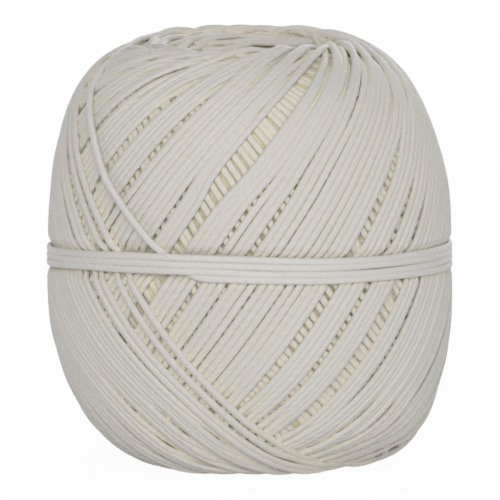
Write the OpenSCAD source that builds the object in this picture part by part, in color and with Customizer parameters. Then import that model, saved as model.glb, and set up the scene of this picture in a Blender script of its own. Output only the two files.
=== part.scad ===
// Ball of waxed thread, cross-wound without a core tube and locked with a band of turns round its waist.
// +Z is up along the winding axis. The origin is the centre of the flat ring that the ball stands on.

/* [Ball] */
// Width across the cross winding
ball_d = 56; // [50:1:64]
// Height from the table to the top of the crown
ball_h = 59; // [54:1:68]
// Squareness of the barrel outline, where 2 is an ellipse
fullness = 3.1; // [2.4:0.05:3.3]

/* [Thread] */
// Diameter of the waxed thread
thread_d = 1.0; // [0.8:0.05:1.1]
// Depth to which a tight turn sinks into the layer under it
bedding = 0.2; // [0.05:0.05:0.3]

/* [Cross winding] */
// Loops in the outer layer, each once over the crown and once under the base
cross_loops = 20; // [8:1:20]
// Slant of the loops to the winding axis, which sets the size of the open ring at each pole
lay_angle = 33; // [31:1:38]
// Angle by which the loops are drawn on towards the poles
pole_draw = 6.5; // [4:0.5:8]
// Clear space between a loop and the loop that it crosses
crossing_gap = 0.5; // [0.45:0.05:0.8]
// Depth to which a loop dives under its neighbours beside a pole
pole_dive = 6.5; // [6:0.5:7]

/* [Waist band] */
// Level turns round the waist
band_turns = 4; // [2:1:5]
// Clear space between one turn of the band and the next
band_gap = 0.45; // [0.45:0.05:0.8]
// Tilt of the band, with its front raised
band_tilt = 4; // [0:0.5:5]
// Distance of the band's middle below the ball's own
band_drop = 0.7; // [0:0.1:1.5]

/* [Crown and base] */
// Bore left by the winding mandrel
bore_d = 9; // [7:0.5:12]
// Depth of the dish in the crown
dish_depth = 6; // [3:0.5:9]
// Outer diameter of the flat ring that the ball stands on
foot_d = 23; // [21:0.5:24]
// Inner diameter of that ring
foot_bore_d = 16; // [14:0.5:18]
// Height of the dimple between that ring and the bore
dimple_h = 3; // [1:0.5:4]

/* [Hidden] */

// Facets of the turned body, sides of a thread and rings in one loop or turn
turned_facets = 72;
thread_sides = 6;
rings_per_loop = 24;
ring_step = 360 / rings_per_loop;

// Gap under the lowest strand, so that the flat ring alone carries the ball
base_clearance = 0.05;

// Heights of the strands' middles over the buried layers
thread_r = thread_d / 2;
inner_lift = thread_r - bedding;
outer_lift = inner_lift + thread_d + crossing_gap;
closing_lift = outer_lift + thread_d - bedding;
band_lift = closing_lift;

// How far round from a pole, as a sine, a diving strand takes to come up again
dive_reach = 0.46;

// Precession of the loops, from the first one to the last, whose closing strand comes down at closing_azimuth
closing_azimuth = 234;
loop_shift = 360 / (cross_loops + 1);
first_angle = ring_step;
last_angle = 360 * cross_loops - ring_step;
lay_start = closing_azimuth - 90 - cross_loops * loop_shift;

// Arc of the closing strand, from the end of the last loop to its bend into the band
closing_arc = 75;

// Half axes of the buried layers' outline, the upright one solved so that the crown ends at ball_h
core_r = ball_d / 2 - outer_lift - thread_r;
strand_span = ball_h - base_clearance - thread_d;
solving_steps = 6;
solving_power = 1.5;
core_h = solved_half_height(ball_h / 2, solving_steps);
centre_z = base_crest(core_h) + thread_r + base_clearance;

// Edge of the crown's dish and of the base, under the strands' highest and lowest points
edge_lat = drawn_lat(asin(cos(ring_step) * cos(lay_angle)));
edge_r = oval_point(edge_lat, core_h)[0];
edge_h = oval_point(edge_lat, core_h)[1];

// Waist band
band_pitch = thread_d + band_gap;
band_h = band_turns * band_pitch;
band_points = band_turns * rings_per_loop;
// Arc over which the closing strand bends from its slant into the top turn
lead_arc = 45;

// Steps of the turned curves, in degrees
curve_step = 22.5;
oval_step = 8;

function unit(v) = v / norm(v);
function mix(a, b, share) = a + (b - a) * share;
function between(x, low, high) = min(max(x, low), high);
function eased(share) = (1 - cos(180 * between(share, 0, 1))) / 2;

// Outline of the buried layers: distance from the middle at a latitude, the point there and its normal
function oval_reach(lat, half_h) =
    pow(pow(cos(lat) / core_r, fullness) + pow(abs(sin(lat)) / half_h, fullness), -1 / fullness);
function oval_point(lat, half_h) = oval_reach(lat, half_h) * [cos(lat), sin(lat)];
function oval_normal(p, half_h) =
    unit([
        pow(p[0] / core_r, fullness - 1) / core_r,
        sign(p[1]) * pow(abs(p[1]) / half_h, fullness - 1) / half_h
    ]);

// Point at a lift over that outline, in a direction from the middle of the ball
function over_oval(lat, azimuth, lift, half_h) =
    let(
        p = oval_point(lat, half_h),
        q = p + lift * oval_normal(p, half_h)
    )
    [q[0] * cos(azimuth), q[0] * sin(azimuth), q[1]];

// Direction of a loop at its angle from the top pole, where the loop is a slanted great circle that precesses
function loop_direction(angle) =
    let(
        turn = lay_start + angle / 360 * loop_shift,
        top = [sin(lay_angle) * cos(turn), sin(lay_angle) * sin(turn), cos(lay_angle)],
        aside = [-sin(turn), cos(turn), 0]
    )
    cos(angle) * top + sin(angle) * aside;

// A loop climbs outside and comes down inside, and changes level at each pole
function dived_lift(angle) =
    inner_lift - pole_dive * exp(-pow(sin(angle) / dive_reach, 2));
function strand_lift(angle) =
    let(side = sin(angle))
    abs(side) < 0.001 ? (outer_lift + dived_lift(angle)) / 2 :
    side > 0 ? dived_lift(angle) :
    outer_lift;
function drawn_lat(lat) = lat + pole_draw * pow(lat / (90 - lay_angle), 3);
function loop_point(angle, lift, half_h) =
    let(d = loop_direction(angle))
    over_oval(drawn_lat(asin(d[2])), atan2(d[1], d[0]), lift, half_h);

// The closing strand goes on over the crown from the last loop and rises onto the others
function closing_rise(angle) =
    mix(outer_lift, closing_lift, eased((angle - last_angle) / (2 * ring_step)));

// Furthest middles of the strands from the ball's own middle, under the base and over the crown
function base_crest(half_h) =
    max([for (a = [-3 * ring_step:ring_step:0]) loop_point(a, strand_lift(a), half_h)[2]]);
function crown_crest(half_h) =
    max([
        for (a = [last_angle:ring_step:last_angle + 4 * ring_step])
            loop_point(a, closing_rise(a), half_h)[2]
    ]);
function solved_half_height(half_h, steps) =
    steps == 0 ? half_h :
    solved_half_height(
        half_h * pow(strand_span / (base_crest(half_h) + crown_crest(half_h)), solving_power),
        steps - 1
    );

cross_points = [
    for (a = [first_angle:ring_step:last_angle])
        loop_point(a, strand_lift(a), core_h) + [0, 0, centre_z]
];

// The closing strand, over the crown and down to the band
closing_points = [
    for (a = [last_angle:ring_step:last_angle + closing_arc])
        loop_point(a, closing_rise(a), core_h) + [0, 0, centre_z]
];

// The band's middle line: level turns, tilted together, reached by a bend from the closing strand
lead_point = closing_points[len(closing_points) - 1];
lead_azimuth = atan2(lead_point[1], lead_point[0]);
function band_height(turned) =
    centre_z - band_drop + band_h / 2 - band_pitch * turned / 360
    - (band_lift + core_r) * tan(band_tilt) * sin(lead_azimuth + turned);
function lead_height(turned) =
    (lead_point[2] - band_height(lead_arc)) * pow(1 - between(turned / lead_arc, 0, 1), 2);
function band_point(turned) =
    let(
        azimuth = lead_azimuth + turned,
        z = (turned < lead_arc ? band_height(lead_arc) : band_height(turned)) + lead_height(turned),
        r = core_r * pow(1 - pow(abs(z - centre_z) / core_h, fullness), 1 / fullness) + band_lift
    )
    [r * cos(azimuth), r * sin(azimuth), z];
waist_points = concat(
    closing_points,
    [
        for (turned = [ring_step / 2:ring_step / 2:lead_arc - 1]) band_point(turned)
    ],
    [
        for (i = [0:band_points]) band_point(lead_arc + i * ring_step)
    ]
);

// Distance between two straight stretches of thread
function stretch_distance(a, b, c, d) =
    let(
        u = b - a,
        v = d - c,
        w = a - c,
        uu = u * u,
        uv = u * v,
        vv = v * v,
        den = uu * vv - uv * uv,
        s0 = den < 0.000001 ? 0 : between((uv * (v * w) - vv * (u * w)) / den, 0, 1),
        t = between((uv * s0 + v * w) / vv, 0, 1),
        s = between((uv * t - u * w) / uu, 0, 1)
    )
    norm(w + s * u - t * v);

// Least gap of a thread to itself, between stretches that aren't next to each other
near_stretches = 3;
far_apart = 20;
function least_gap(points) =
    let(last = len(points) - 2)
    min([
        for (i = [0:last - near_stretches])
            for (j = [i + near_stretches:last])
                if (norm(points[i] - points[j]) < far_apart)
                    stretch_distance(points[i], points[i + 1], points[j], points[j + 1])
    ]) - thread_d;
function run_length(points) =
    let(steps = [for (i = [1:len(points) - 1]) norm(points[i] - points[i - 1])])
    steps * [for (s = steps) 1];

// Ring of a thread's outline at one point of its middle line, flat towards the ball
function thread_ring(points, i) =
    let(
        last = len(points) - 1,
        along = unit(points[min(i + 1, last)] - points[max(i - 1, 0)]),
        out = points[i] - [0, 0, centre_z],
        side = unit(cross(along, out)),
        up = cross(side, along)
    )
    [
        for (k = [0:thread_sides - 1])
            points[i] + thread_r * (cos(360 * k / thread_sides) * side + sin(360 * k / thread_sides) * up)
    ];

// One unbroken tube along a middle line, closed at both ends
module thread_tube(points) {
    n = thread_sides;
    count = len(points);
    corners = [for (i = [0:count - 1]) each thread_ring(points, i)];
    walls = [
        for (i = [0:count - 2])
            for (k = [0:n - 1])
                let(
                    a = i * n + k,
                    b = i * n + (k + 1) % n
                )
                each [[a, b, a + n], [b, b + n, a + n]]
    ];
    start_cap = [for (k = [1:n - 2]) [0, k + 1, k]];
    last_ring = (count - 1) * n;
    end_cap = [for (k = [1:n - 2]) [last_ring, last_ring + k, last_ring + k + 1]];
    polyhedron(points = corners, faces = concat(walls, start_cap, end_cap), convexity = 10);
}

// Outline of the buried layers from the bore's lower edge, outwards and up to the crown, in radius and height
bore_r = bore_d / 2;
foot_r = foot_d / 2;
foot_bore_r = foot_bore_d / 2;
seat_z = centre_z - edge_h;
rim_z = centre_z + edge_h;
oval_parts = ceil(2 * edge_lat / oval_step);

dimple = [
    for (a = [0:curve_step:90])
        [mix(bore_r, foot_bore_r, sin(a)), dimple_h * pow(1 - sin(a), 2)]
];
nose = [
    for (a = [0:curve_step:90 - curve_step])
        [mix(foot_r, edge_r, sin(a)), seat_z * (1 - cos(a))]
];
flank = [
    for (i = [0:oval_parts])
        let(p = oval_point(mix(-edge_lat, edge_lat, i / oval_parts), core_h))
        [p[0], centre_z + p[1]]
];
dish = [
    for (a = [curve_step:curve_step:180])
        [mix(edge_r, bore_r, a / 180), rim_z - dish_depth * eased(a / 180)]
];

// The buried layers: the mass of the ball, with its flat foot, dished crown and mandrel bore
module inner_winding() {
    color("#cfcabb")
        rotate_extrude($fn = turned_facets)
            polygon(concat(dimple, nose, flank, dish));
}

// The outer layer of cross-wound loops, one unbroken thread
module cross_winding() {
    echo(cross_winding_least_gap_mm = least_gap(cross_points));
    echo(cross_winding_length_mm = run_length(cross_points));
    color("#dedbd0") thread_tube(cross_points);
}

// The closing strand and the level turns round the waist, one unbroken thread
module waist_band() {
    echo(waist_band_least_gap_mm = least_gap(waist_points));
    echo(waist_band_length_mm = run_length(waist_points));
    color("#e6e3d9") thread_tube(waist_points);
}

inner_winding();
cross_winding();
waist_band();
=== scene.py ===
"""Ball of waxed thread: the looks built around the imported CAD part."""

import math

import bpy
import numpy as np
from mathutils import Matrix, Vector


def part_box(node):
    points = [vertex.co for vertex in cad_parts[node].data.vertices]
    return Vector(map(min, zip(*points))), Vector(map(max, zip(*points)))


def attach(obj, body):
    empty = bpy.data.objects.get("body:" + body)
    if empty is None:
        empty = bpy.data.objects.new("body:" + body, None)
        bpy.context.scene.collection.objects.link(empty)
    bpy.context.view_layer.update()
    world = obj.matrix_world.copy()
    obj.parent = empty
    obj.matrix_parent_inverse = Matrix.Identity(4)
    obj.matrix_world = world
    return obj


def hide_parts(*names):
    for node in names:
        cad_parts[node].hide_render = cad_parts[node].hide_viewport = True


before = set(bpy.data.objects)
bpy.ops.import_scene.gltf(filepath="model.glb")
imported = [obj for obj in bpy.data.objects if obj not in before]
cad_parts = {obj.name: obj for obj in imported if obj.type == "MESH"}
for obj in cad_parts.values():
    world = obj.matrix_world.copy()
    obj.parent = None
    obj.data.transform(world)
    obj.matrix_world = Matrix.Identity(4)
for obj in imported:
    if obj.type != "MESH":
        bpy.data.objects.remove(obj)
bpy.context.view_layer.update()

MM = 0.001
rng = np.random.default_rng(7)

# ---------------------------------------------------------------- sizes, in mm, from the frame
cross_low, cross_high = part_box("cross_winding")
# The CAD thread has few sides and rings, so its box is a little inside the round outline
ROUNDER = 1.004
ball_r = (cross_high.x - cross_low.x) / 2 / MM * ROUNDER
cross_h = (cross_high.z - cross_low.z) / MM
# Height of the ball's middle, as a share of the winding's height
MIDDLE_SHARE = 0.4966
middle_z = cross_low.z / MM + MIDDLE_SHARE * cross_h
crest_up = cross_high.z / MM - middle_z

# Depth of an outer strand's middle line under the outline
THREAD_R = 0.45
# A thread under tension is pressed a little flat
HALF_WIDTH = 0.50
HALF_HEIGHT = 0.39
# Strands in the open are pressed wider than buried ones, up to this depth
OUTER_WIDER = 0.045
OPEN_DEPTH = 0.25
# Squareness of a strand's section, where 2 is an oval
SECTION = 2.25
BORE_R = 4.5
# Radii at which the outline leaves its oval, at the crown and at the base
RIM_R = 13.8
BASE_RIM_R = 17.0
# Squareness of the barrel outline, where 2 is an ellipse
SQUARENESS = 3.0
# Height from where the oval ends to the top of the rim
RIM_RISE = 0.13
oval_h = (crest_up - RIM_RISE) / (1 - (RIM_R / ball_r) ** SQUARENESS) ** (1 / SQUARENESS)


def gaussian(values, sigma):
    """Values smoothed by a bell curve of that width, in samples."""
    reach = int(3 * sigma) + 1
    weights = np.exp(-0.5 * (np.arange(-reach, reach + 1) / sigma) ** 2)
    padded = np.pad(values, reach, mode="edge")
    return np.convolve(padded, weights / weights.sum(), mode="valid")


def eased(share):
    """A smooth step from 0 to 1."""
    share = np.clip(share, 0, 1)
    return share * share * (3 - 2 * share)


def bell(values, middle, width):
    """1 in the middle, falling to 0 on both sides."""
    return np.exp(-(((values - middle) / width) ** 2))


def wrapped(angle):
    """The same angle from -180 to 180 degrees."""
    return (angle + math.pi) % (2 * math.pi) - math.pi


# ---------------------------------------------------------------- outline that the strands' crests touch
# Slant of the loops to the winding axis, and the latitude at which they turn back
LAY = math.radians(34.5)
TOP_LAT = math.pi / 2 - LAY
# Angle by which the loops are drawn on towards the crown, mostly at its rim
DRAW_UP = math.radians(7.0)
DRAW_POWER = 3
OVAL_SAMPLES = 6001
# Length of one row of the outline, and of the steps in which its curls are drawn
ROW_STEP = 0.12
CURL_STEP = 0.02
OUTLINE_SMOOTH = 5
# Radius of the curl over the rim, heading and inner radius of the dish, then curl and heading of the bore
RIM_CURL = 3.2
DISH_SLOPE = math.radians(210)
DISH_R = 6.2
BORE_CURL = 1.6
BORE_WALL = math.radians(270)
# Height of the bore's foot over the table
BORE_END = 1.6
# Inner radius of the flat ring under the base
FOOT_INNER_R = BORE_R + 3.5


def oval(lat):
    """Radius and height of the barrel's squarish oval."""
    reach = (
        (np.cos(lat) / ball_r) ** SQUARENESS + (np.abs(np.sin(lat)) / oval_h) ** SQUARENESS
    ) ** (-1 / SQUARENESS)
    return reach * np.cos(lat), reach * np.sin(lat)


def crown_curl(r, z):
    """From the oval's upper end over the rim, down the dish and into the bore."""
    heading = math.atan2(z[-1] - z[-2], r[-1] - r[-2])
    top_r, top_z = [r[-1]], [z[-1]]
    while top_z[-1] > BORE_END - middle_z:
        if top_r[-1] > DISH_R:
            heading = min(heading + CURL_STEP / RIM_CURL, DISH_SLOPE)
        else:
            heading = min(heading + CURL_STEP / BORE_CURL, BORE_WALL)
        top_r.append(top_r[-1] + CURL_STEP * math.cos(heading))
        top_z.append(top_z[-1] + CURL_STEP * math.sin(heading))
    return top_r, top_z


def base_curl(r, z):
    """From the oval's lower end under the base, across its flat ring."""
    heading = math.atan2(z[0] - z[1], r[0] - r[1]) % (2 * math.pi)
    curl = (z[0] + middle_z) / (1 - math.cos(heading - math.pi))
    low_r, low_z = [r[0]], [z[0]]
    while low_r[-1] > FOOT_INNER_R:
        heading = max(heading - CURL_STEP / curl, math.pi)
        low_r.append(low_r[-1] + CURL_STEP * math.cos(heading))
        low_z.append(low_z[-1] + CURL_STEP * math.sin(heading))
    return low_r, low_z


def outline():
    """Distance from the equator, radius, height and normal along the outline, from foot to bore."""
    r, z = oval(np.linspace(-math.pi / 2, math.pi / 2, OVAL_SAMPLES)[1:-1])
    keep = ~((z > 0) & (r < RIM_R)) & ~((z < 0) & (r < BASE_RIM_R))
    r, z = r[keep], z[keep]
    top_r, top_z = crown_curl(r, z)
    low_r, low_z = base_curl(r, z)
    r = np.concatenate([low_r[::-1], r[1:-1], top_r])
    z = np.concatenate([low_z[::-1], z[1:-1], top_z])
    m = np.concatenate([[0], np.cumsum(np.hypot(np.diff(r), np.diff(z)))])
    flank = slice(len(low_r), -len(top_r))
    m -= np.interp(0.0, z[flank], m[flank])
    even = np.arange(m[0], m[-1], ROW_STEP)
    r, z = np.interp(even, m, r), np.interp(even, m, z)
    heading = gaussian(np.unwrap(np.arctan2(np.gradient(z), np.gradient(r))), OUTLINE_SMOOTH)
    return even, r, z, np.sin(heading), -np.cos(heading)


# m, here and below, is the distance along the outline from the equator, upwards
row_m, row_r, row_z, row_nr, row_nz = outline()
row_lat = np.arctan2(row_z, row_r)
is_oval = (row_r > RIM_R) & (row_z > 0) | (row_r > BASE_RIM_R) & (row_z <= 0)
oval_lat = np.arctan2(row_z[is_oval], row_r[is_oval])
oval_m = row_m[is_oval]


def on_outline(m, table):
    return np.interp(m, row_m, table)


# ---------------------------------------------------------------- the order in which the thread was laid
# psi is the angle along the thread, with the crown at 0 and the base at 180 degrees of each loop.
# A loop climbs from -180 to 0 and falls from 0 to 180. Its turn is the azimuth at which it passes the crown.
PITCH = math.radians(2.88)
FIRST_TURN = math.radians(-330)
LAST_TURNS = np.radians([118.7, 121.9, 126.9, 130.1, 137.1, 141.6, 152.5])
# Turns before this one lie further apart, by this share, and all of them a little unevenly
OLDER_BEFORE = math.radians(-105)
OLDER_WIDER = 0.17
UNEVEN = 0.07
OLDER_UNEVEN = 0.12
# Ladders read off the photo: turn, width, first and last psi at which each stands open, all in degrees
LADDERS = [
    (-84.0, 3.4, -58, -18),
    (-67.0, 4.0, -64, -24),
    (-53.5, 2.9, -70, -28),
    (-34.5, 1.2, -86, -60),
    (-26.0, 4.6, -150, -12),
    (-26.0, 5.0, -62, -5),
    (-14.7, 1.5, -114, -58),
    (-11.0, 1.0, -86, -58),
    (-5.2, 1.5, -90, -62),
    (1.0, 1.6, -40, -22),
    (26.0, 3.6, -134, -50),
    (38.0, 2.6, -144, -60),
    (47.8, 2.2, -90, -66),
    (48.2, 6.4, -150, -90),
    (58.8, 2.2, -134, -92),
]
# The other ladders' turns, first psi, length, last psi and width, in degrees
MORE_LADDERS = 46
LADDER_TURNS = (-330, 112)
LADDER_STARTS = (-160, -70)
LADDER_LENGTHS = (30, 100)
LADDER_LAST = -12
LADDER_WIDTHS = (1.0, 5.5)
# Turns that climb or fall across the front, those laid last, and the rungs of the front's ladders
FRONT_CLIMBING = (-95, 68)
FRONT_FALLING = (-216, -36)
LATEST_FALLING = 70
RUNG_TURNS = (-250, -210)
# Angle over which a ladder opens, and reach of the turns that make room for it
LADDER_RAMP = math.radians(9)
RAMP_SHARPNESS = 4
LADDER_REACH = math.radians(9.0)


def between(value, ends):
    return ends[0] < value < ends[1]


def ladder_list():
    """The ladders seen from the front, and others of the same kind round the rest of the ball."""
    out = [tuple(np.radians(ladder)) for ladder in LADDERS]
    for _ in range(MORE_LADDERS):
        falls = rng.random() < 0.5
        turn = rng.uniform(*LADDER_TURNS)
        if not falls and between(turn, FRONT_CLIMBING):
            continue
        if falls and (between(turn, FRONT_FALLING) or turn > LATEST_FALLING):
            continue
        low = rng.uniform(*LADDER_STARTS)
        high = min(low + rng.uniform(*LADDER_LENGTHS), LADDER_LAST)
        width = rng.uniform(*LADDER_WIDTHS)
        if falls and between(turn, RUNG_TURNS):
            continue
        if falls:
            low, high = -high, -low
        out.append(tuple(np.radians([turn, width, low, high])))
    return out


ladders = ladder_list()


def ladder_shift(turn, psi):
    """Sideways shift that makes room at the ladders, for a half loop of that middle turn."""
    shift = np.zeros_like(psi)
    for middle, width, low, high in ladders:
        away = turn - middle
        opening = 1 / (1 + np.exp(-(psi - low) / LADDER_RAMP * RAMP_SHARPNESS))
        window = opening / (1 + np.exp((psi - high) / LADDER_RAMP * RAMP_SHARPNESS))
        shift += 0.5 * width * window * np.sign(away) * np.exp(-np.abs(away) / LADDER_REACH)
    return shift


def turn_knots():
    """Turn of the winding at each half loop: a climbing half, then a falling one."""
    regular = [LAST_TURNS[0] - PITCH / 2]
    while regular[-1] > FIRST_TURN:
        older = regular[-1] < OLDER_BEFORE
        regular.append(regular[-1] - PITCH / 2 * (1 + OLDER_WIDER * older))
    regular = np.array(regular[:0:-1])
    uneven = np.where(regular < OLDER_BEFORE, OLDER_UNEVEN, UNEVEN)
    knots = regular + rng.normal(0, 1, len(regular)) * uneven * PITCH
    if len(regular) % 2:
        knots = knots[1:]
    ending = []
    before = regular[-1]
    for falling in LAST_TURNS:
        ending += [(before + falling) / 2, falling]
        before = falling
    return np.concatenate([knots, ending])


# The closing strand's turn at its psi after the last passing of the crown, in degrees
CLOSING_PSI = [-52, -25, 0, 20, 35, 50, 62, 72, 82, 90]
CLOSING_TURN = [147, 153, 158, 156.5, 150.5, 152.5, 152.6, 155.3, 158.3, 160]
CLOSING_BLEND = math.radians(20)
# Samples of wander for each half loop, its size, and how far its samples are smoothed
WANDER_SAMPLES = 6
WANDER = math.radians(0.16)
WANDER_SMOOTH = 1.2
POLE_SMOOTH = 1.0

knots = turn_knots()
knot_psi = -math.pi / 2 + math.pi * np.arange(len(knots))
last_turn = knots[-1]
last_pole = knot_psi[-1] - math.pi / 2
closing_start = last_pole + math.radians(CLOSING_PSI[0])
# Wander of the strands, and of the ring that they touch at each pole
wander = gaussian(rng.normal(0, 1, len(knots) * WANDER_SAMPLES), WANDER_SMOOTH)
wander_psi = np.linspace(knot_psi[0], knot_psi[-1], len(wander))
pole_spread = gaussian(rng.normal(0, 1, len(knots)), POLE_SMOOTH)
pole_spread /= pole_spread.std()

# The last turns lie closer together as they leave the crown, and again as they near the base
GATHER = 0.16
GATHER_AT = math.radians(40)
GATHER_WIDTH = math.radians(26)
LOW_GATHER = 0.22
LOW_GATHER_AT = math.radians(140)
GATHER_REACH = math.radians(40)
# Shift of the strands along the outline at the poles: for each turn of age, by chance, and for all
AGE_DRAW = 1.2
TOP_SPREAD = 0.8
TOP_OFFSET = 2.4
BASE_SPREAD = 0.45
BASE_OFFSET = 0.8
POLE_POWER = 10


def half_index(psi):
    """Number of the half loop, which is also its knot's."""
    return ((psi + math.pi) // math.pi).astype(int)


def loop_azimuth(local):
    """Azimuth of a slanting loop, from where it passes the crown."""
    return np.arctan2(np.sin(local), math.sin(LAY) * np.cos(local))


def turn_at(psi):
    """Turn of the winding, with the closing strand's own at its end."""
    turn = np.interp(psi, knot_psi, knots)
    closing_turn = np.interp(psi - last_pole, np.radians(CLOSING_PSI), np.radians(CLOSING_TURN))
    return turn + (closing_turn - turn) * eased((psi - closing_start) / CLOSING_BLEND)


def age_of(turn):
    """Full turns of the winding laid since."""
    return (last_turn - turn) / (2 * math.pi)


def winding_path(psi):
    """Place along the outline and azimuth of the thread at its angles."""
    turn = turn_at(psi)
    local = wrapped(psi)
    age = age_of(turn)
    turn = turn + ladder_shift(knots[np.minimum(half_index(psi), len(knots) - 1)], local)
    spread_out = np.clip(turn - LAST_TURNS[0], 0, None) * (psi < closing_start)
    turn = turn - GATHER * spread_out * bell(local, GATHER_AT, GATHER_WIDTH)
    short_of_last = np.clip(LAST_TURNS[-1] - turn, 0, GATHER_REACH) * (psi < closing_start)
    turn = turn + LOW_GATHER * short_of_last * bell(local, LOW_GATHER_AT, GATHER_WIDTH)
    turn = turn + WANDER * np.interp(psi, wander_psi, wander)
    lat = np.arcsin(np.cos(local) * math.cos(LAY))
    share = lat / TOP_LAT
    drawn = lat + np.where(lat > 0, DRAW_UP, 0.0) * share**DRAW_POWER
    spread = np.interp(psi, knot_psi + math.pi / 2, pole_spread)
    at_top = TOP_OFFSET * np.cos(turn) + TOP_SPREAD * spread + AGE_DRAW * age
    at_base = BASE_SPREAD * spread + AGE_DRAW * age + BASE_OFFSET
    m = np.interp(drawn, oval_lat, oval_m)
    m = m + np.where(lat > 0, at_top, -at_base) * np.abs(share) ** POLE_POWER
    return m, turn + loop_azimuth(local)


# ---------------------------------------------------------------- the band's middle line
# Height of the lowest turn in front, rise from one turn to the next, and tilt, with its front raised
BAND_LOW = -2.05
BAND_PITCH = 0.88
BAND_RISE = 1.78
# Lean to one side, all along and near the two ends that the photo shows
BAND_LEAN = 0.10
BAND_ENDS = 0.85
BAND_WIDTH = 0.525
BAND_THICK = 0.40
BAND_TURNS = 3.45
# Height of the band's middle line over the outline
BAND_HEIGHT = -0.24


def band_line(azimuth, turned):
    """Height over the ball's middle of the band's thread, after it has turned so far."""
    front = azimuth + math.pi / 2
    lean = BAND_LEAN * np.sin(front) + BAND_ENDS * np.sin(front) ** 3
    return BAND_LOW + BAND_PITCH * turned / (2 * math.pi) + BAND_RISE * np.cos(front) + lean


# ---------------------------------------------------------------- heights of the strands over those below
PSI_STEP = math.radians(1.6)
# Thickness of a layer of one slant
SHEET = 0.66
# Strands that lie over each other where room is short, and how far each of them is pressed in
CROWD_MOST = 3.0
CROWD_SHEETS = 2.0
CROWD_SHARE = 0.84
CROWD_SINK = 0.64
SINK_BLUR = 0.14
SINK_SMOOTH = 1.5
LEAST_ROOM = 1.0
# Radius of the circle round a pole that the loops touch, for the room that they have at the equator
TOUCH_R = 15.5
EQUATOR_ROOM = math.sqrt(ball_r**2 - TOUCH_R**2)
TOP_TOUCH = np.interp(TOP_LAT + DRAW_UP, oval_lat, oval_m)
BASE_TOUCH = np.interp(-TOP_LAT, oval_lat, oval_m)
# The crowded strands near the poles are lifted back to the outline from this latitude on, in radians
TOP_LIFT = 1.35
BASE_LIFT = 1.6
LIFT_FROM = 0.5
LIFT_OVER = 0.55
# Reach of the place beside a pole where a strand changes level
DIVE_REACH = math.radians(8)
LIFT_WANDER = 0.05
LIFT_SMOOTH = 1.5
GOLDEN = 0.618034
# Depth to which the band presses the strands under it, and where that ends on both sides of its middle
BAND_PRESS = 0.8
BAND_MIDDLE_TURN = 1.9
BAND_REACH = 2.05
PRESS_EDGE = 0.22
# Height of the closing strand over the others, and where it comes up to it
CLOSING_LIFT = 0.86
RIDE_BEFORE = math.radians(20)
RIDE_OVER = math.radians(35)
# Lean to the left for each mm up, drop of the right side for each mm out, and the height over the table
# from which that drop is full
SIDE_LEAN = 0.0094
SHOULDER_LEAN = 0.0325
LEAN_FROM = 9.0
# Swellings and hollows: angle from the right, seen from the front, size in mm and reach in degrees
SWELLINGS = [
    (-118, -1.10, 13),
    (-162, 0.34, 12),
    (-60, 1.75, 10),
    (-104, -1.9, 10),
    (121, -0.45, 9),
    (143, -0.46, 13),
    (40, -0.52, 10),
    (-22, 0.22, 10),
    (84, 0.42, 18),
]
FOOT_SOFTNESS = 0.15


def leaned(points):
    """The ball is a little out of true: its left shoulder stands higher, and it swells and hollows."""
    x, _, z = points.T
    reach = np.linalg.norm(points, axis=1)
    swelling = 0 * x
    for angle, size, width in SWELLINGS:
        toward = math.radians(angle)
        along = (x * math.cos(toward) + z * math.sin(toward)) / reach
        swelling += size * np.exp((along - 1) / math.radians(width) ** 2)
    x, y, z = points.T * (1 + swelling / reach)
    low = z - SHOULDER_LEAN * x * eased((z + middle_z) / LEAN_FROM)
    # what would come through the table is pressed up to it
    lowest = HALF_HEIGHT - middle_z
    low = lowest + np.logaddexp(0, (low - lowest) / FOOT_SOFTNESS) * FOOT_SOFTNESS
    return np.stack([x - SIDE_LEAN * z, y, low], 1)


def place(m, azimuth, height):
    """Points at a height over the outline."""
    r = on_outline(m, row_r) + height * on_outline(m, row_nr)
    z = on_outline(m, row_z) + height * on_outline(m, row_nz)
    return leaned(np.stack([r * np.cos(azimuth), r * np.sin(azimuth), z], 1))


def normals_at(m, azimuth):
    nr = on_outline(m, row_nr)
    return np.stack([nr * np.cos(azimuth), nr * np.sin(azimuth), on_outline(m, row_nz)], 1)


def crowd(m):
    """How many strands of one slant lie over each other at a place, at least one."""
    r = on_outline(m, row_r)
    touch = np.where(m > 0, on_outline(TOP_TOUCH, row_r), on_outline(BASE_TOUCH, row_r))
    room = np.sqrt(np.clip(r**2 - touch**2, LEAST_ROOM, None)) / EQUATOR_ROOM
    return np.clip(CROWD_SHARE / room, 1, CROWD_MOST)


# Place of each half loop among those that it is crowded with, spread evenly
rank = (np.arange(len(knots) + 2) * GOLDEN) % 1.0
lift_noise = gaussian(rng.normal(0, 1, len(knots) * WANDER_SAMPLES), LIFT_SMOOTH)
lift_noise /= lift_noise.std()


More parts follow.
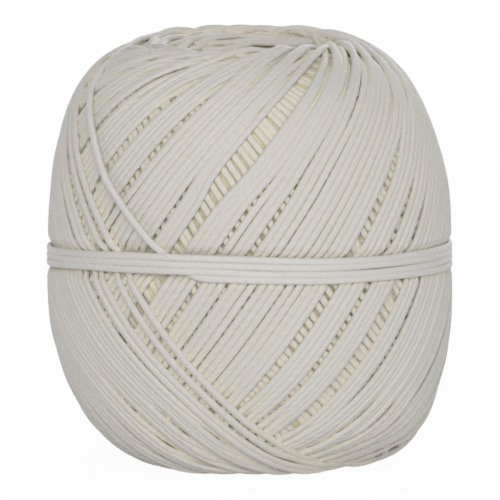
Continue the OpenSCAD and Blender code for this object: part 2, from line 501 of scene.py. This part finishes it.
def strand_height(psi, m, azimuth):
    """Height of the thread's middle: later turns lie over earlier ones, and a strand dives at a pole."""
    local = wrapped(psi)
    level = (loop_azimuth(local) % math.pi) / (math.pi / 2) - 1
    to_pole = np.abs((local + math.pi / 2) % math.pi - math.pi / 2)
    level *= 1 - bell(to_pole, 0, DIVE_REACH)
    many = crowd(m)
    sheet = SHEET * np.minimum(many, CROWD_SHEETS)
    own_rank = rank[half_index(psi)]
    sunk = sum(CROWD_SINK * eased((own_rank - k / many) / SINK_BLUR + 0.5) for k in (1, 2))
    noise = LIFT_WANDER * np.interp(psi, wander_psi, lift_noise)
    height = SHEET - THREAD_R - 2 * SHEET * age_of(turn_at(psi))
    height = height + sheet / 2 * (level - 1) - gaussian(sunk, SINK_SMOOTH) + noise
    near_pole = eased((np.abs(on_outline(m, row_lat)) - LIFT_FROM) / LIFT_OVER)
    height += np.where(m > 0, TOP_LIFT, BASE_LIFT) * near_pole
    off_band = np.abs(on_outline(m, row_z) - band_line(azimuth, 2 * math.pi * BAND_MIDDLE_TURN))
    height -= BAND_PRESS / (1 + np.exp((off_band - BAND_REACH) / PRESS_EDGE))
    # the closing strand rides over all
    riding = eased((psi - last_pole + RIDE_BEFORE) / RIDE_OVER)
    return height + riding * (CLOSING_LIFT - THREAD_R - height)


psi_all = np.arange(knot_psi[0], knot_psi[-1], PSI_STEP)
m_all, azimuth_all = winding_path(psi_all)
height_all = strand_height(psi_all, m_all, azimuth_all)

# ---------------------------------------------------------------- mesh of a thread
SIDES = 10
ARC_SIDES = 8
# A tone for each loop of the thread
tones = np.random.default_rng(3).random(len(knots))


def tube(centres, normals, tone, deep, width=HALF_WIDTH, height=HALF_HEIGHT):
    """One thread as rings about its middle line, with its shade and its depth in the ball at each ring."""
    return {
        "centres": centres,
        "normals": normals,
        "tone": tone,
        "deep": deep,
        "width": width,
        "height": height,
    }


def squarer(part):
    """A circle's cosine or sine moved out toward a square's."""
    return np.sign(part) * np.abs(part) ** (2 / SECTION)


def ring_corners(thread, sides):
    """Corners of the rings round one thread's middle line."""
    centres, n = thread["centres"], len(thread["centres"])
    along = np.gradient(centres, axis=0)
    along /= np.linalg.norm(along, axis=1)[:, None]
    side = np.cross(along, thread["normals"])
    side /= np.linalg.norm(side, axis=1)[:, None]
    up = np.cross(side, along)
    angle = 2 * np.pi * np.arange(sides) / sides
    width = np.broadcast_to(thread["width"], n)[:, None, None]
    thick = np.broadcast_to(thread["height"], n)[:, None, None]
    across = width * side[:, None] * squarer(np.cos(angle))[:, None]
    outward = thick * up[:, None] * squarer(np.sin(angle))[:, None]
    return (centres[:, None] + across + outward).reshape(-1, 3)


def ring_faces(rings, sides, start):
    """Faces with four corners between one ring and the next, for corners numbered from the start."""
    row = np.arange(rings - 1)[:, None] * sides
    a = (row + np.arange(sides)).ravel() + start
    b = (row + (np.arange(sides) + 1) % sides).ravel() + start
    return np.stack([a, b, b + sides, a + sides], 1)


def ring_uvs(centres, sides):
    """Length along the thread and share of the way round it, for each face and for both caps."""
    rings = len(centres)
    length = np.concatenate([[0], np.cumsum(np.linalg.norm(np.diff(centres, axis=0), axis=1))])
    u0, u1 = np.repeat(length[:-1], sides), np.repeat(length[1:], sides)
    v0 = np.tile(np.arange(sides) / sides, rings - 1)
    v1 = v0 + 1 / sides
    faces = np.stack([u0, v0, u0, v1, u1, v1, u1, v0], 1).reshape(-1, 2)
    caps = [np.stack([np.full(sides, end), np.arange(sides) / sides], 1) for end in (0.0, length[-1])]
    return faces, caps


def on_scene(name, data):
    """A new object in the scene."""
    obj = bpy.data.objects.new(name, data)
    bpy.context.scene.collection.objects.link(obj)
    return obj


def in_metres(points):
    """Points about the ball's middle, in mm, as points over the table, in metres."""
    return points * MM + np.array([0, 0, middle_z * MM])


def thread_object(name, threads, sides=SIDES):
    """Mesh of one or more threads, with length and turn as UVs."""
    verts, quads, caps, uvs, cap_uvs, tone, deep = [], [], [], [], [], [], []
    start = 0
    for thread in threads:
        rings = len(thread["centres"])
        verts.append(ring_corners(thread, sides))
        quads.append(ring_faces(rings, sides, start))
        caps.append(start + np.arange(sides)[::-1])
        caps.append(start + (rings - 1) * sides + np.arange(sides))
        face_uvs, end_uvs = ring_uvs(thread["centres"], sides)
        uvs.append(face_uvs)
        cap_uvs += end_uvs
        tone.append(np.repeat(np.broadcast_to(thread["tone"], rings), sides))
        deep.append(np.repeat(np.broadcast_to(thread["deep"], rings), sides))
        start += rings * sides
    verts = in_metres(np.concatenate(verts))
    # a thread that the ball stands on is pressed flat by the table
    verts[:, 2] = np.maximum(verts[:, 2], 0)
    quads, caps = np.concatenate(quads), np.array(caps)
    mesh = bpy.data.meshes.new(name)
    mesh.vertices.add(len(verts))
    mesh.vertices.foreach_set("co", verts.astype(np.float32).ravel())
    corners = np.concatenate([quads.ravel(), caps.ravel()]).astype(np.int32)
    mesh.loops.add(len(corners))
    mesh.loops.foreach_set("vertex_index", corners)
    mesh.polygons.add(len(quads) + len(caps))
    starts = np.concatenate([np.arange(len(quads)) * 4, quads.size + np.arange(len(caps)) * sides])
    mesh.polygons.foreach_set("loop_start", starts.astype(np.int32))
    mesh.update(calc_edges=True)
    mesh.polygons.foreach_set("use_smooth", np.ones(len(mesh.polygons), bool))
    layer = mesh.uv_layers.new(name="Along")
    layer.data.foreach_set("uv", np.concatenate(uvs + cap_uvs).astype(np.float32).ravel())
    for title, values in (("strand", tone), ("deep", deep)):
        attribute = mesh.attributes.new(title, "FLOAT", "POINT")
        attribute.data.foreach_set("value", np.concatenate(values).astype(np.float32))
    return on_scene(name, mesh)


# ---------------------------------------------------------------- depth of each strand in the ball
# Depth of three layers, which counts as 1
FULL_DEPTH = 2.4
DEEP_SMOOTH = 1.5
# Map of the crests: length and number of its cells, and cells on each side in which a crest counts
MAP_CELL = 0.5
MAP_COLUMNS = 360
MAP_REACH = 3
MAP_ROWS = int((row_m[-1] - row_m[0]) / MAP_CELL) + 1
UNSEEN = -9.0


def map_cell(m, azimuth):
    """Row and column of the map at a place."""
    row = np.clip(((m - row_m[0]) / MAP_CELL).astype(int), 0, MAP_ROWS - 1)
    return row, np.floor(azimuth / (2 * math.pi) * MAP_COLUMNS).astype(int) % MAP_COLUMNS


def crest_map(m, azimuth, height):
    """Height of the highest strand about each place of the outline."""
    spots = np.full((MAP_ROWS, MAP_COLUMNS), UNSEEN)
    np.maximum.at(spots, map_cell(m, azimuth), height)
    crest = spots
    for down in range(-MAP_REACH, MAP_REACH + 1):
        for across in range(-MAP_REACH, MAP_REACH + 1):
            crest = np.maximum(crest, np.roll(np.roll(spots, down, 0), across, 1))
    return crest


before_closing = psi_all < closing_start
crests = crest_map(m_all[before_closing], azimuth_all[before_closing], height_all[before_closing])
deep_all = np.clip((crests[map_cell(m_all, azimuth_all)] - height_all) / FULL_DEPTH, 0, 1)
deep_all = gaussian(deep_all, DEEP_SMOOTH)

# ---------------------------------------------------------------- the outer windings
WINDING_PIECES = "abcd"


def winding_tube(part):
    """A stretch of the winding as one thread."""
    psi, m, azimuth, height = (values[part] for values in (psi_all, m_all, azimuth_all, height_all))
    loop = ((psi + math.pi) // (2 * math.pi)).astype(int)
    width = HALF_WIDTH + OUTER_WIDER * np.clip(1 - deep_all[part] / OPEN_DEPTH, 0, 1)
    return tube(place(m, azimuth, height), normals_at(m, azimuth), tones[loop], deep_all[part], width)


end_of_winding = int(np.searchsorted(psi_all, closing_start))
split = np.linspace(0, end_of_winding, len(WINDING_PIECES) + 1).astype(int)
winding_pieces = []
for letter, first, last in zip(WINDING_PIECES, split, split[1:]):
    winding_pieces.append(thread_object("cross_winding_" + letter, [winding_tube(slice(first, last + 1))]))

# ---------------------------------------------------------------- the closing strand and the band
BAND_STEP = math.radians(1.2)
BAND_SMOOTH = 1.5
BAND_TONE = 0.5
# Where the closing strand leaves the winding's law: its height over the lowest turn, and its curve from there
LEAD_START_Z = 4.9
LEAD_ARC = math.radians(17)
# Small waves of the band, from noise smoothed over so many steps, which leaves it this spread
BAND_WOBBLE = 0.05
WOBBLE_SMOOTH = 6
WOBBLE_SPREAD = 0.2
# The lead-in dives under the other turns: its height over the lowest turn, and its height over the outline
DIP_OVER = [0.0, 0.8, 1.4, 3.1, 4.0]
DIP_HEIGHT = [BAND_HEIGHT, -0.6, -1.1, -1.1, CLOSING_LIFT - THREAD_R]
# The later turns rise a little where they cross it
CROSSING_SHARE = 0.35
CROSSING_LIFT = 0.3
CROSSING_REACH = math.radians(7)
# The end, tucked in and down under the turns
TUCK_FROM = math.radians(16)
TUCK_OVER = math.radians(14)
TUCK_DEPTH = 1.1
TUCK_DROP = 0.9
# The part of the outline where the band can lie
FLANK_Z = 20
FLANK_R = 20


def closing_tube():
    """The last strand, over the crown and down to the waist, and the band that it goes on into."""
    closing = slice(end_of_winding, len(psi_all))
    closing_z = on_outline(m_all[closing], row_z)
    lead_in = closing_z < band_line(azimuth_all[closing], 0.0) + LEAD_START_Z
    lead_index = int(np.argmax((psi_all[closing] > last_pole) & lead_in))
    lead_azimuth = azimuth_all[closing][lead_index]
    turned = np.arange(BAND_STEP, BAND_TURNS * 2 * math.pi, BAND_STEP)
    azimuth = lead_azimuth + turned
    to_lead = np.clip(1 - turned / LEAD_ARC, 0, None)
    wobble = BAND_WOBBLE * gaussian(rng.normal(0, 1, len(turned)), WOBBLE_SMOOTH) / WOBBLE_SPREAD
    z = band_line(azimuth, turned) + LEAD_START_Z * to_lead**2
    z += wobble * eased((turned - LEAD_ARC) / LEAD_ARC)
    # under the other turns as it comes in, and tucked under them again where it ends
    dip = np.interp(z - band_line(azimuth, turned), DIP_OVER, DIP_HEIGHT)
    height = gaussian(np.where(turned < LEAD_ARC, dip, BAND_HEIGHT), BAND_SMOOTH)
    around = wrapped(azimuth - (lead_azimuth + LEAD_ARC * CROSSING_SHARE))
    height += np.where(turned > math.pi, CROSSING_LIFT, 0.0) * bell(around, 0, CROSSING_REACH)
    tucked = eased((turned - turned[-1] + TUCK_FROM) / TUCK_OVER)
    height -= TUCK_DEPTH * tucked
    z -= TUCK_DROP * tucked
    flank = (np.abs(row_z) < FLANK_Z) & (row_r > FLANK_R)
    keep = slice(end_of_winding, end_of_winding + lead_index + 1)
    m = np.concatenate([m_all[keep], np.interp(z, row_z[flank], row_m[flank])])
    azimuth = np.concatenate([azimuth_all[keep], azimuth])
    height = np.concatenate([height_all[keep], height])
    centres = place(m, azimuth, height)
    return tube(centres, normals_at(m, azimuth), BAND_TONE, 0.0, BAND_WIDTH, BAND_THICK)


band_piece = thread_object("closing_band", [closing_tube()])

# ---------------------------------------------------------------- older turns at the crown and the base
# Half of a turn's arc round its pole, the rings in it, and its bow, where 1 is a straight line
ARC_REACH = math.radians(74)
ARC_RINGS = 41
ARC_BOW = 0.9
# Depth under the outline, growing outwards from the pole, and along the turn so that each lies under the next
ARC_UNDER = 0.1
ARC_SINK = 0.40
SHINGLE = 0.62
BASE_SHINGLE = 0.3
# Spread by chance of the turns' radius, place, bow and depth
TOUCH_SPREAD = 0.22
PLACE_SPREAD = 0.12
BOW_SPREAD = 0.06
DEPTH_SPREAD = 0.06
# Waves of the crown's turns, sideways and up: size in mm, and least and most in one radian
SIDE_WAVE = 0.30
SIDE_WAVES = (2.5, 4.5)
LIFT_WAVE = 0.16
LIFT_WAVES = (3, 5)
# The crown's inner turns count as deeper, and so get more of the painted warm bounce light
INNER_DEEPER = 0.16
INNER_FROM = 12.5
INNER_OVER = 4
# Circles that the turns touch, the turns on each, and the shift from one circle to the next, in radians
CROWN_CIRCLES = np.arange(13.2, 5.6, -0.7)
CROWN_TURNS = 6
CROWN_SHIFT = 0.43
BASE_CIRCLES = np.arange(17.0, 7.6, -0.95)
BASE_TURNS = 9
BASE_SHIFT = 0.4
# Latitudes of the oval beyond which the outline belongs to the crown and to the base, in radians
CROWN_FROM = 1.0
BASE_FROM = -0.9
top_rows = row_m > np.interp(CROWN_FROM, oval_lat, oval_m)
base_rows = row_m < np.interp(BASE_FROM, oval_lat, oval_m)


def depth_of(height):
    """Depth in the ball as a share: 0 for the outer strands, 1 for three layers down."""
    return np.clip((-THREAD_R - height) / FULL_DEPTH, 0, 1)


def wave(size, counts, angle):
    """A wave along an arc, with its length and its start by chance."""
    return size * np.sin(rng.uniform(*counts) * angle + rng.uniform(0, 2 * math.pi))


def ring_turns(ring_r, count, first_azimuth, above):
    """Tangent turns that shingle round a ring of one pole and dive under the turns outside it."""
    beta = np.linspace(-ARC_REACH, ARC_REACH, ARC_RINGS)
    rows = top_rows if above else base_rows
    order = np.argsort(row_r[rows])
    out = []
    for i in range(count):
        touch = ring_r + rng.normal(0, TOUCH_SPREAD)
        azimuth = first_azimuth + (i + rng.normal(0, PLACE_SPREAD)) * 2 * math.pi / count + beta
        bow = ARC_BOW + rng.normal(0, BOW_SPREAD)
        r = touch * (1 + (1 / np.cos(beta) - 1) * bow)
        m = np.interp(r, row_r[rows][order], row_m[rows][order])
        shingle = SHINGLE * beta / ARC_REACH * (1 if above else BASE_SHINGLE)
        height = -THREAD_R - ARC_SINK * (r - touch) - shingle - ARC_UNDER + rng.normal(0, DEPTH_SPREAD)
        if above:
            m = m + wave(SIDE_WAVE, SIDE_WAVES, beta)
            height += wave(LIFT_WAVE, LIFT_WAVES, beta)
        deeper = INNER_DEEPER * above * np.clip((INNER_FROM - ring_r) / INNER_OVER, 0, 1)
        deep = np.clip(depth_of(height) + deeper, 0, 1)
        out.append(tube(place(m, azimuth, height), normals_at(m, azimuth), rng.random(), deep))
    return out


BORE_TURNS = 26
BORE_STEP = 0.35
# Slope of the turns along the wall, as the way round for each mm down
BORE_SLANT = 0.9
# The turns start in the dish, a little outside the bore, and sink in there
BORE_START_R = DISH_R + 0.6
BORE_UNDER = 0.35
START_UNDER = 0.5
START_OVER = 1.2
BORE_PLACE_SPREAD = 0.1
BORE_DEPTH_SPREAD = 0.05
# Depth given to the bore's turns, which sets how much painted warm bounce light they get
BORE_DEEP = 0.45


def bore_turns():
    """The first turns of all, seen on the wall of the bore, slanting down it side by side."""
    top_m = row_m[top_rows][np.argmax(row_r[top_rows] < BORE_START_R)]
    m = np.arange(top_m, row_m[-1], BORE_STEP)
    out = []
    for i in range(BORE_TURNS):
        start = (i + rng.normal(0, BORE_PLACE_SPREAD)) * 2 * math.pi / BORE_TURNS
        azimuth = start + BORE_SLANT * (m - top_m) / BORE_R
        height = -THREAD_R - BORE_UNDER - START_UNDER * np.exp(-(m - top_m) / START_OVER)
        height += rng.normal(0, BORE_DEPTH_SPREAD)
        out.append(tube(place(m, azimuth, height), normals_at(m, azimuth), rng.random(), BORE_DEEP))
    return out


crown_threads = []
for k, ring_r in enumerate(CROWN_CIRCLES):
    crown_threads += ring_turns(ring_r, CROWN_TURNS, k * CROWN_SHIFT, True)
crown_threads += bore_turns()
crown_piece = thread_object("crown_turns", crown_threads, ARC_SIDES)
base_threads = []
for k, ring_r in enumerate(BASE_CIRCLES):
    base_threads += ring_turns(ring_r, BASE_TURNS, k * BASE_SHIFT, False)
base_piece = thread_object("base_turns", base_threads, ARC_SIDES)

# ---------------------------------------------------------------- the buried layers' own surface
# Depth of the surface under the crests, on the flanks and near the poles, and where one meets the other
CORE_UNDER = 1.02
POLE_UNDER = 1.15
POLE_R = 15.0
POLE_OVER = 3.0
CORE_SMOOTH = 7


def buried_surface(name):
    """The surface of the layers under the modelled strands, following their crests from below."""
    crest = np.where(crests > UNSEEN, crests, -THREAD_R)
    around = np.concatenate([crest, crest, crest], 1)
    smooth = np.apply_along_axis(gaussian, 1, around, CORE_SMOOTH)[:, MAP_COLUMNS : 2 * MAP_COLUMNS]
    smooth = np.apply_along_axis(gaussian, 0, smooth, CORE_SMOOTH)
    m = row_m[0] + (np.arange(MAP_ROWS) + 0.5) * MAP_CELL
    m = np.clip(m, row_m[0], row_m[-1])
    near_pole = np.clip((POLE_R - on_outline(m, row_r)) / POLE_OVER, 0, 1)[:, None]
    height = (smooth - CORE_UNDER) * (1 - near_pole) - (THREAD_R + POLE_UNDER) * near_pole
    azimuth = (np.arange(MAP_COLUMNS) + 0.5) / MAP_COLUMNS * 2 * math.pi
    grid_m, grid_azimuth = np.meshgrid(m, azimuth, indexing="ij")
    points = place(grid_m.ravel(), grid_azimuth.ravel(), height.ravel())
    # the last row of faces runs from the foot of the bore out to the base, which closes the body
    faces = ring_faces(MAP_ROWS + 1, MAP_COLUMNS, 0) % len(points)
    mesh = bpy.data.meshes.new(name)
    mesh.from_pydata([tuple(point) for point in in_metres(points)], [], faces.tolist())
    mesh.polygons.foreach_set("use_smooth", np.ones(len(mesh.polygons), bool))
    return on_scene(name, mesh)


core = buried_surface("buried_layers")

# ---------------------------------------------------------------- nodes
# Sockets of the colour mix: its share, its two colours and its result
MIX_SHARE, MIX_FIRST, MIX_SECOND, MIX_RESULT = 0, 6, 7, 2


def add_node(tree, kind, **values):
    made = tree.nodes.new(kind)
    for key, value in values.items():
        setattr(made, key, value)
    return made


def feed(tree, socket, value):
    """Gives a socket another node's output, a colour or a number."""
    if isinstance(value, bpy.types.NodeSocket):
        tree.links.new(value, socket)
    elif isinstance(value, tuple):
        socket.default_value = (*value, 1)
    else:
        socket.default_value = value


def math_node(tree, operation, *values):
    made = add_node(tree, "ShaderNodeMath", operation=operation)
    for socket, value in zip(made.inputs, values):
        feed(tree, socket, value)
    return made.outputs[0]


def colour_mix(tree, share, first, second):
    made = add_node(tree, "ShaderNodeMix", data_type="RGBA")
    for index, value in ((MIX_SHARE, share), (MIX_FIRST, first), (MIX_SECOND, second)):
        feed(tree, made.inputs[index], value)
    return made.outputs[MIX_RESULT]


def noise_node(tree, where, scale, detail):
    made = add_node(tree, "ShaderNodeTexNoise")
    feed(tree, made.inputs["Scale"], scale)
    feed(tree, made.inputs["Detail"], detail)
    feed(tree, made.inputs["Vector"], where)
    return made.outputs["Fac"]


def ramp_node(tree, share, low, high):
    """Colour ramp between two pairs of place and colour."""
    made = add_node(tree, "ShaderNodeValToRGB")
    for element, (position, colour) in zip(made.color_ramp.elements, (low, high)):
        element.color = (*colour, 1)
        element.position = position
    feed(tree, made.inputs["Fac"], share)
    return made.outputs["Color"]


def shader_material(name, **values):
    """A material with the plain shader's sockets set, with underscores for the spaces in their names."""
    mat = bpy.data.materials.new(name)
    mat.use_nodes = True
    shader = mat.node_tree.nodes["Principled BSDF"]
    for socket, value in values.items():
        feed(mat.node_tree, shader.inputs[socket.replace("_", " ")], value)
    return mat, mat.node_tree, shader


# ---------------------------------------------------------------- materials
OUTER = (0.642, 0.620, 0.590)
OUTER_SHADE = (0.608, 0.588, 0.550)
BAND = (0.672, 0.652, 0.624)
BAND_SHADE = (0.640, 0.621, 0.588)
# Painted warm bounce light for the strands below the others, from warm to ochre
WARM_BOUNCE = (0.680, 0.645, 0.550)
OCHRE_BOUNCE = (0.780, 0.695, 0.480)
# Painted warm bounce light of the thread mass seen in the gaps, at the dark and pale ends of its blotches
BURIED_BOUNCE_DARK = (0.60, 0.54, 0.37)
BURIED_BOUNCE_PALE = (0.80, 0.73, 0.53)
# Painted shade in the grooves between the threads and how strongly it shows, painted bounce light in the most
# hidden spots with its share and power, and the reach of a groove in metres
PAINTED_GROOVE_SHADE = (0.620, 0.587, 0.505)
PAINTED_SHADE_SHARE = 1.3
PAINTED_BOUNCE_LIGHT = (0.94, 0.89, 0.74)
PAINTED_LIGHT_SHARE = 1.0
PAINTED_LIGHT_POWER = 1.5
GROOVE_REACH = 0.0008
# The band's turns touch all along, with little painted groove shade and painted bounce light showing between
# them
BAND_PAINTED_SHARE = 0.35
# Shares of depth at which strands start to take the painted warm bounce light, have gone over to it, and turn
# to its ochre
SUNK_FROM = 0.06
SUNK_TO = 0.36
WARM_AT = 0.38
OCHRE_AT = 0.75
# Tone of a strand: shares of its own and of soft blotches, and strength of its fibres
OWN_TONE = 0.6
BLOTCH_TONE = 0.4
STREAK = 1.6
BLOTCH_SCALE = 160
BURIED_SCALE = 900
# Twist of the three plies and fibres along them, with lengths in mm
TWIST_PITCH = 1.5
PLIES = 3.0
FIBRE_LENGTH = 0.5
FIBRE_ROUND = 1.6
FIBRE_SCALE = 2.4
DETAIL = 3
PLAIN_DETAIL = 2
PLY_RELIEF = 0.35
FIBRE_RELIEF = 0.9
BUMP_STRENGTH = 0.5
BUMP_DEPTH = 0.00009


def twist_and_fibres(tree):
    """Ply twist and fibres, along the UVs: length in mm, and share of the way round."""
    uv = add_node(tree, "ShaderNodeUVMap", uv_map="Along")
    parts = add_node(tree, "ShaderNodeSeparateXYZ")
    feed(tree, parts.inputs[0], uv.outputs["UV"])
    length, around = parts.outputs["X"], parts.outputs["Y"]
    angle = math_node(tree, "MULTIPLY", around, 2 * math.pi)
    twist = math_node(tree, "DIVIDE", length, TWIST_PITCH)
    turns = math_node(tree, "ADD", twist, math_node(tree, "MULTIPLY", around, PLIES))
    ply = math_node(tree, "SINE", math_node(tree, "MULTIPLY", turns, 2 * math.pi))
    where = add_node(tree, "ShaderNodeCombineXYZ")
    feed(tree, where.inputs[0], math_node(tree, "MULTIPLY", length, FIBRE_LENGTH))
    for socket, operation in ((1, "COSINE"), (2, "SINE")):
        side = math_node(tree, "MULTIPLY", math_node(tree, operation, angle), FIBRE_ROUND)
        feed(tree, where.inputs[socket], side)
    return ply, noise_node(tree, where.outputs[0], FIBRE_SCALE, DETAIL)


def thread_colour(tree, light, shade, fibre, painted_shade_amount, painted_light_amount):
    """A tone for each strand, painted warm bounce light on those below the others, painted shade in the
    grooves between the threads and painted bounce light in the most hidden spots.
    """
    strand = add_node(tree, "ShaderNodeAttribute", attribute_name="strand").outputs["Fac"]
    depth = add_node(tree, "ShaderNodeAttribute", attribute_name="deep").outputs["Fac"]
    position = add_node(tree, "ShaderNodeTexCoord").outputs["Object"]
    blotch = noise_node(tree, position, BLOTCH_SCALE, DETAIL)
    own = math_node(tree, "MULTIPLY", strand, OWN_TONE)
    tone = math_node(tree, "ADD", own, math_node(tree, "MULTIPLY", blotch, BLOTCH_TONE))
    streak = math_node(tree, "MULTIPLY", math_node(tree, "SUBTRACT", fibre, 0.5), STREAK)
    surface = colour_mix(tree, math_node(tree, "ADD", tone, streak), light, shade)
    sink = add_node(tree, "ShaderNodeMapRange")
    feed(tree, sink.inputs["Value"], depth)
    feed(tree, sink.inputs["From Min"], SUNK_FROM)
    feed(tree, sink.inputs["From Max"], SUNK_TO)
    # painted warm bounce light: deeper strands turn warmer and paler, standing in for the light bounced
    # between the threads
    older = ramp_node(tree, depth, (WARM_AT, WARM_BOUNCE), (OCHRE_AT, OCHRE_BOUNCE))
    strands = colour_mix(tree, sink.outputs["Result"], surface, older)
    grooves = add_node(tree, "ShaderNodeAmbientOcclusion", samples=4)
    feed(tree, grooves.inputs["Distance"], GROOVE_REACH)
    hidden = math_node(tree, "SUBTRACT", 1.0, grooves.outputs["AO"])
    # painted shade: where the occlusion finds other threads close by, the colour goes toward the darker
    # groove shade
    with_painted_shade = colour_mix(tree, math_node(tree, "MULTIPLY", hidden, painted_shade_amount), strands, PAINTED_GROOVE_SHADE)
    # painted bounce light: the most hidden spots go toward a pale warm colour
    bounce_light_mask = math_node(tree, "MULTIPLY", math_node(tree, "POWER", hidden, PAINTED_LIGHT_POWER), painted_light_amount)
    return colour_mix(tree, bounce_light_mask, with_painted_shade, PAINTED_BOUNCE_LIGHT)


def thread_material(name, light, shade, painted_shade_amount, painted_light_amount):
    """Waxed thread with its colour, its ply twist and its fibres."""
    mat, tree, shader = shader_material(
        name, Roughness=0.62, Specular_IOR_Level=0.3, Sheen_Weight=0.35, Sheen_Roughness=0.4
    )
    ply, fibre = twist_and_fibres(tree)
    colour = thread_colour(tree, light, shade, fibre, painted_shade_amount, painted_light_amount)
    feed(tree, shader.inputs["Base Color"], colour)
    fibres = math_node(tree, "MULTIPLY", fibre, FIBRE_RELIEF)
    relief = math_node(tree, "ADD", math_node(tree, "MULTIPLY", ply, PLY_RELIEF), fibres)
    bump = add_node(tree, "ShaderNodeBump")
    feed(tree, bump.inputs["Strength"], BUMP_STRENGTH)
    feed(tree, bump.inputs["Distance"], BUMP_DEPTH)
    feed(tree, bump.inputs["Height"], relief)
    feed(tree, shader.inputs["Normal"], bump.outputs["Normal"])
    return mat


def buried_material():
    """The thread mass seen in the gaps: a painted warm ochre that stands in for the light bounced between the
    threads, with small blotches.
    """
    mat, tree, shader = shader_material("buried_thread", Roughness=0.85)
    where = add_node(tree, "ShaderNodeTexCoord").outputs["Object"]
    blotch = noise_node(tree, where, BURIED_SCALE, PLAIN_DETAIL)
    feed(tree, shader.inputs["Base Color"], ramp_node(tree, blotch, (0, BURIED_BOUNCE_DARK), (1, BURIED_BOUNCE_PALE)))
    return mat


def dress(piece, material, node_name):
    """A piece's material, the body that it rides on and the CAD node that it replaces."""
    piece.data.materials.append(material)
    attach(piece, "root")
    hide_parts(node_name)


cream = thread_material("cream_thread", OUTER, OUTER_SHADE, PAINTED_SHADE_SHARE, PAINTED_LIGHT_SHARE)
band_cream = thread_material("band_thread", BAND, BAND_SHADE, BAND_PAINTED_SHARE, BAND_PAINTED_SHARE)
for piece in winding_pieces:
    dress(piece, cream, "cross_winding")
dress(band_piece, band_cream, "waist_band")
dress(crown_piece, cream, "inner_winding")
dress(base_piece, cream, "inner_winding")
dress(core, buried_material(), "inner_winding")

# ---------------------------------------------------------------- stage, light and camera, in metres
FLOOR_SIZE = 6.0
FLOOR_GREY = (0.85, 0.85, 0.85)
FLOOR_WHITE = 0.96
WHITE = (1, 1, 1)
WORLD_STRENGTH = 0.48
# Each lamp's name, place and power in watts
LAMPS = [
    ("back", (0.25, 0.85, 0.4), 2.4),
    ("key", (-0.08, -0.88, 0.32), 3.25),
    ("fill", (0.4, -0.8, 0.12), 1.0),
]
LAMP_SIZE = 0.5
# Width in pixels of the photo and of the ball in it, and the ball's real width
PHOTO_WIDTH_PX = 500
BALL_WIDTH_PX = 402
BALL_WIDTH = 0.056
DISTANCE = 0.9
ELEVATION = math.radians(8)
SENSOR_WIDTH = 36
CLIP_START = 0.05


def seen_share(tree):
    """1 for what the camera, a mirror or glass sees, and 0 for the light that falls on other things."""
    rays = add_node(tree, "ShaderNodeLightPath").outputs
    direct = math_node(tree, "MAXIMUM", rays["Is Camera Ray"], rays["Is Glossy Ray"])
    return math_node(tree, "MAXIMUM", direct, rays["Is Transmission Ray"])


def shader_mix(tree, share, lit, shown, output):
    """Shows one shader where the share is 1, and lights with the other."""
    made = add_node(tree, "ShaderNodeMixShader")
    for socket, value in zip(made.inputs, (share, lit, shown)):
        feed(tree, socket, value)
    feed(tree, output.inputs["Surface"], made.outputs[0])


def white_floor():
    """The table, seen as white, which keeps the ball's shadow faintly."""
    half = FLOOR_SIZE / 2
    mesh = bpy.data.meshes.new("floor")
    corners = [(-half, -half, 0), (half, -half, 0), (half, half, 0), (-half, half, 0)]
    mesh.from_pydata(corners, [], [(0, 1, 2, 3)])
    mat, tree, shader = shader_material("floor", Base_Color=FLOOR_GREY, Roughness=0.9)
    white = add_node(tree, "ShaderNodeEmission")
    feed(tree, white.inputs["Strength"], 1.0)
    share = math_node(tree, "MULTIPLY", seen_share(tree), FLOOR_WHITE)
    shader_mix(tree, share, shader.outputs[0], white.outputs[0], tree.nodes["Material Output"])
    mesh.materials.append(mat)
    on_scene("floor", mesh)


def area_light(name, place_at, power, aim):
    data = bpy.data.lights.new(name, "AREA")
    data.shape = "DISK"
    data.size = LAMP_SIZE
    data.energy = power
    lamp = on_scene(name, data)
    lamp.location = place_at
    lamp.rotation_euler = (aim - Vector(place_at)).to_track_quat("-Z", "Y").to_euler()


def white_world():
    """Even light from all round, seen as white."""
    world = bpy.data.worlds.new("world")
    bpy.context.scene.world = world
    world.use_nodes = True
    tree = world.node_tree
    lighting = tree.nodes["Background"]
    backdrop = add_node(tree, "ShaderNodeBackground")
    for background, strength in ((lighting, WORLD_STRENGTH), (backdrop, 1.0)):
        feed(tree, background.inputs["Color"], WHITE)
        feed(tree, background.inputs["Strength"], strength)
    output = tree.nodes["World Output"]
    shader_mix(tree, seen_share(tree), lighting.outputs[0], backdrop.outputs[0], output)


def photo_camera(aim):
    """The camera at the photo's angle, with the ball as wide in its frame as in the photo."""
    data = bpy.data.cameras.new("camera")
    data.sensor_width = SENSOR_WIDTH
    data.lens = SENSOR_WIDTH * DISTANCE / (PHOTO_WIDTH_PX / BALL_WIDTH_PX * BALL_WIDTH)
    data.clip_start = CLIP_START
    camera = on_scene("camera", data)
    camera.location = aim + DISTANCE * Vector((0, -math.cos(ELEVATION), math.sin(ELEVATION)))
    camera.rotation_euler = (math.pi / 2 - ELEVATION, 0, 0)
    bpy.context.scene.camera = camera


centre = Vector((0, 0, middle_z * MM))
white_floor()
for lamp_name, lamp_place, lamp_power in LAMPS:
    area_light(lamp_name, lamp_place, lamp_power, centre)
white_world()
photo_camera(centre)

bpy.context.scene.view_settings.view_transform = "Standard"
